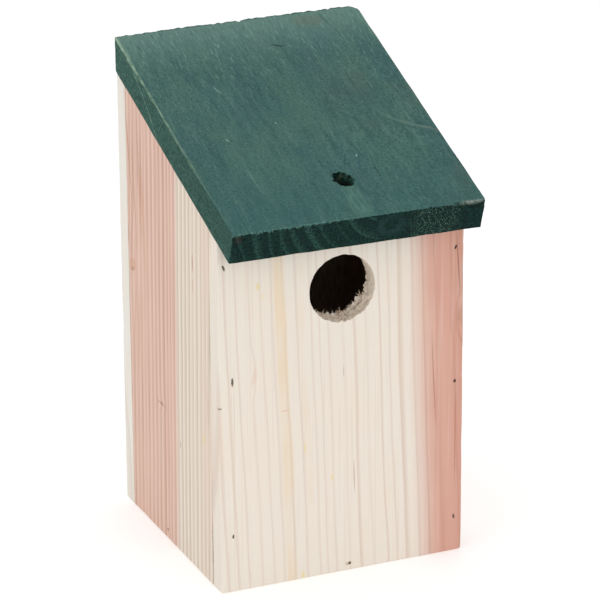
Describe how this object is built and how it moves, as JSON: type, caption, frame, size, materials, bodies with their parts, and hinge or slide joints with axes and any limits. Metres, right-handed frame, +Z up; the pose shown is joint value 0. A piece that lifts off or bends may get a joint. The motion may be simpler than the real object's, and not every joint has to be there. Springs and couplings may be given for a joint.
{
  "type": "birdhouse",
  "caption": "Upright wooden nest box with a round entrance hole and a thick stained roof board that slopes to the front and lifts off for cleaning.",
  "frame": {"origin": "centre of the base, on the underside of the floor board", "axes": "+Z up, +X to the right of somebody facing the entrance, -Y out of the entrance"},
  "size_m": [0.121, 0.1402, 0.2301],
  "materials": {
    "front_wood": "planed, unfinished softwood with a pink heartwood band",
    "side_wood": "planed, unfinished pink heartwood",
    "back_wood": "planed, unfinished softwood",
    "floor_wood": "sawn, unfinished softwood",
    "roof_stain": "dark green wood stain, worn pale on the edges",
    "brad_steel": "bare wire",
    "screw_steel": "zinc plated",
    "pin_steel": "drawn wire",
    "zinc": "zinc plated sheet"
  },
  "bodies": {
    "box": {"front_board": "front_wood", "back_board": "back_wood", "left_side_board": "side_wood", "right_side_board": "side_wood", "floor_board": "floor_wood", "left_roof_pin": "pin_steel", "right_roof_pin": "pin_steel", "hanger_plate": "zinc", "left_hanger_screw": "screw_steel", "right_hanger_screw": "screw_steel", "front_brad_left_top": "brad_steel", "front_brad_left_middle": "brad_steel", "front_brad_left_bottom": "brad_steel", "front_brad_right_top": "brad_steel", "front_brad_right_middle": "brad_steel", "front_brad_right_bottom": "brad_steel", "front_brad_floor": "brad_steel", "back_brad_left_top": "brad_steel", "back_brad_left_middle": "brad_steel", "back_brad_left_bottom": "brad_steel", "back_brad_right_top": "brad_steel", "back_brad_right_middle": "brad_steel", "back_brad_right_bottom": "brad_steel", "back_brad_floor": "brad_steel", "left_brad_floor": "brad_steel", "right_brad_floor": "brad_steel"},
    "roof": {"roof_board": "roof_stain"},
    "roof_screw": {"roof_screw": "screw_steel"}
  },
  "joints": [
    {"name": "roof_lift", "type": "slide", "parent": "box", "child": "roof", "axis": [0, 0, 1], "range_m": [0, 0.08]},
    {"name": "roof_screw_withdraw", "type": "slide", "parent": "roof", "child": "roof_screw", "axis": [0, 0, 1], "range_m": [0, 0.035]}
  ]
}
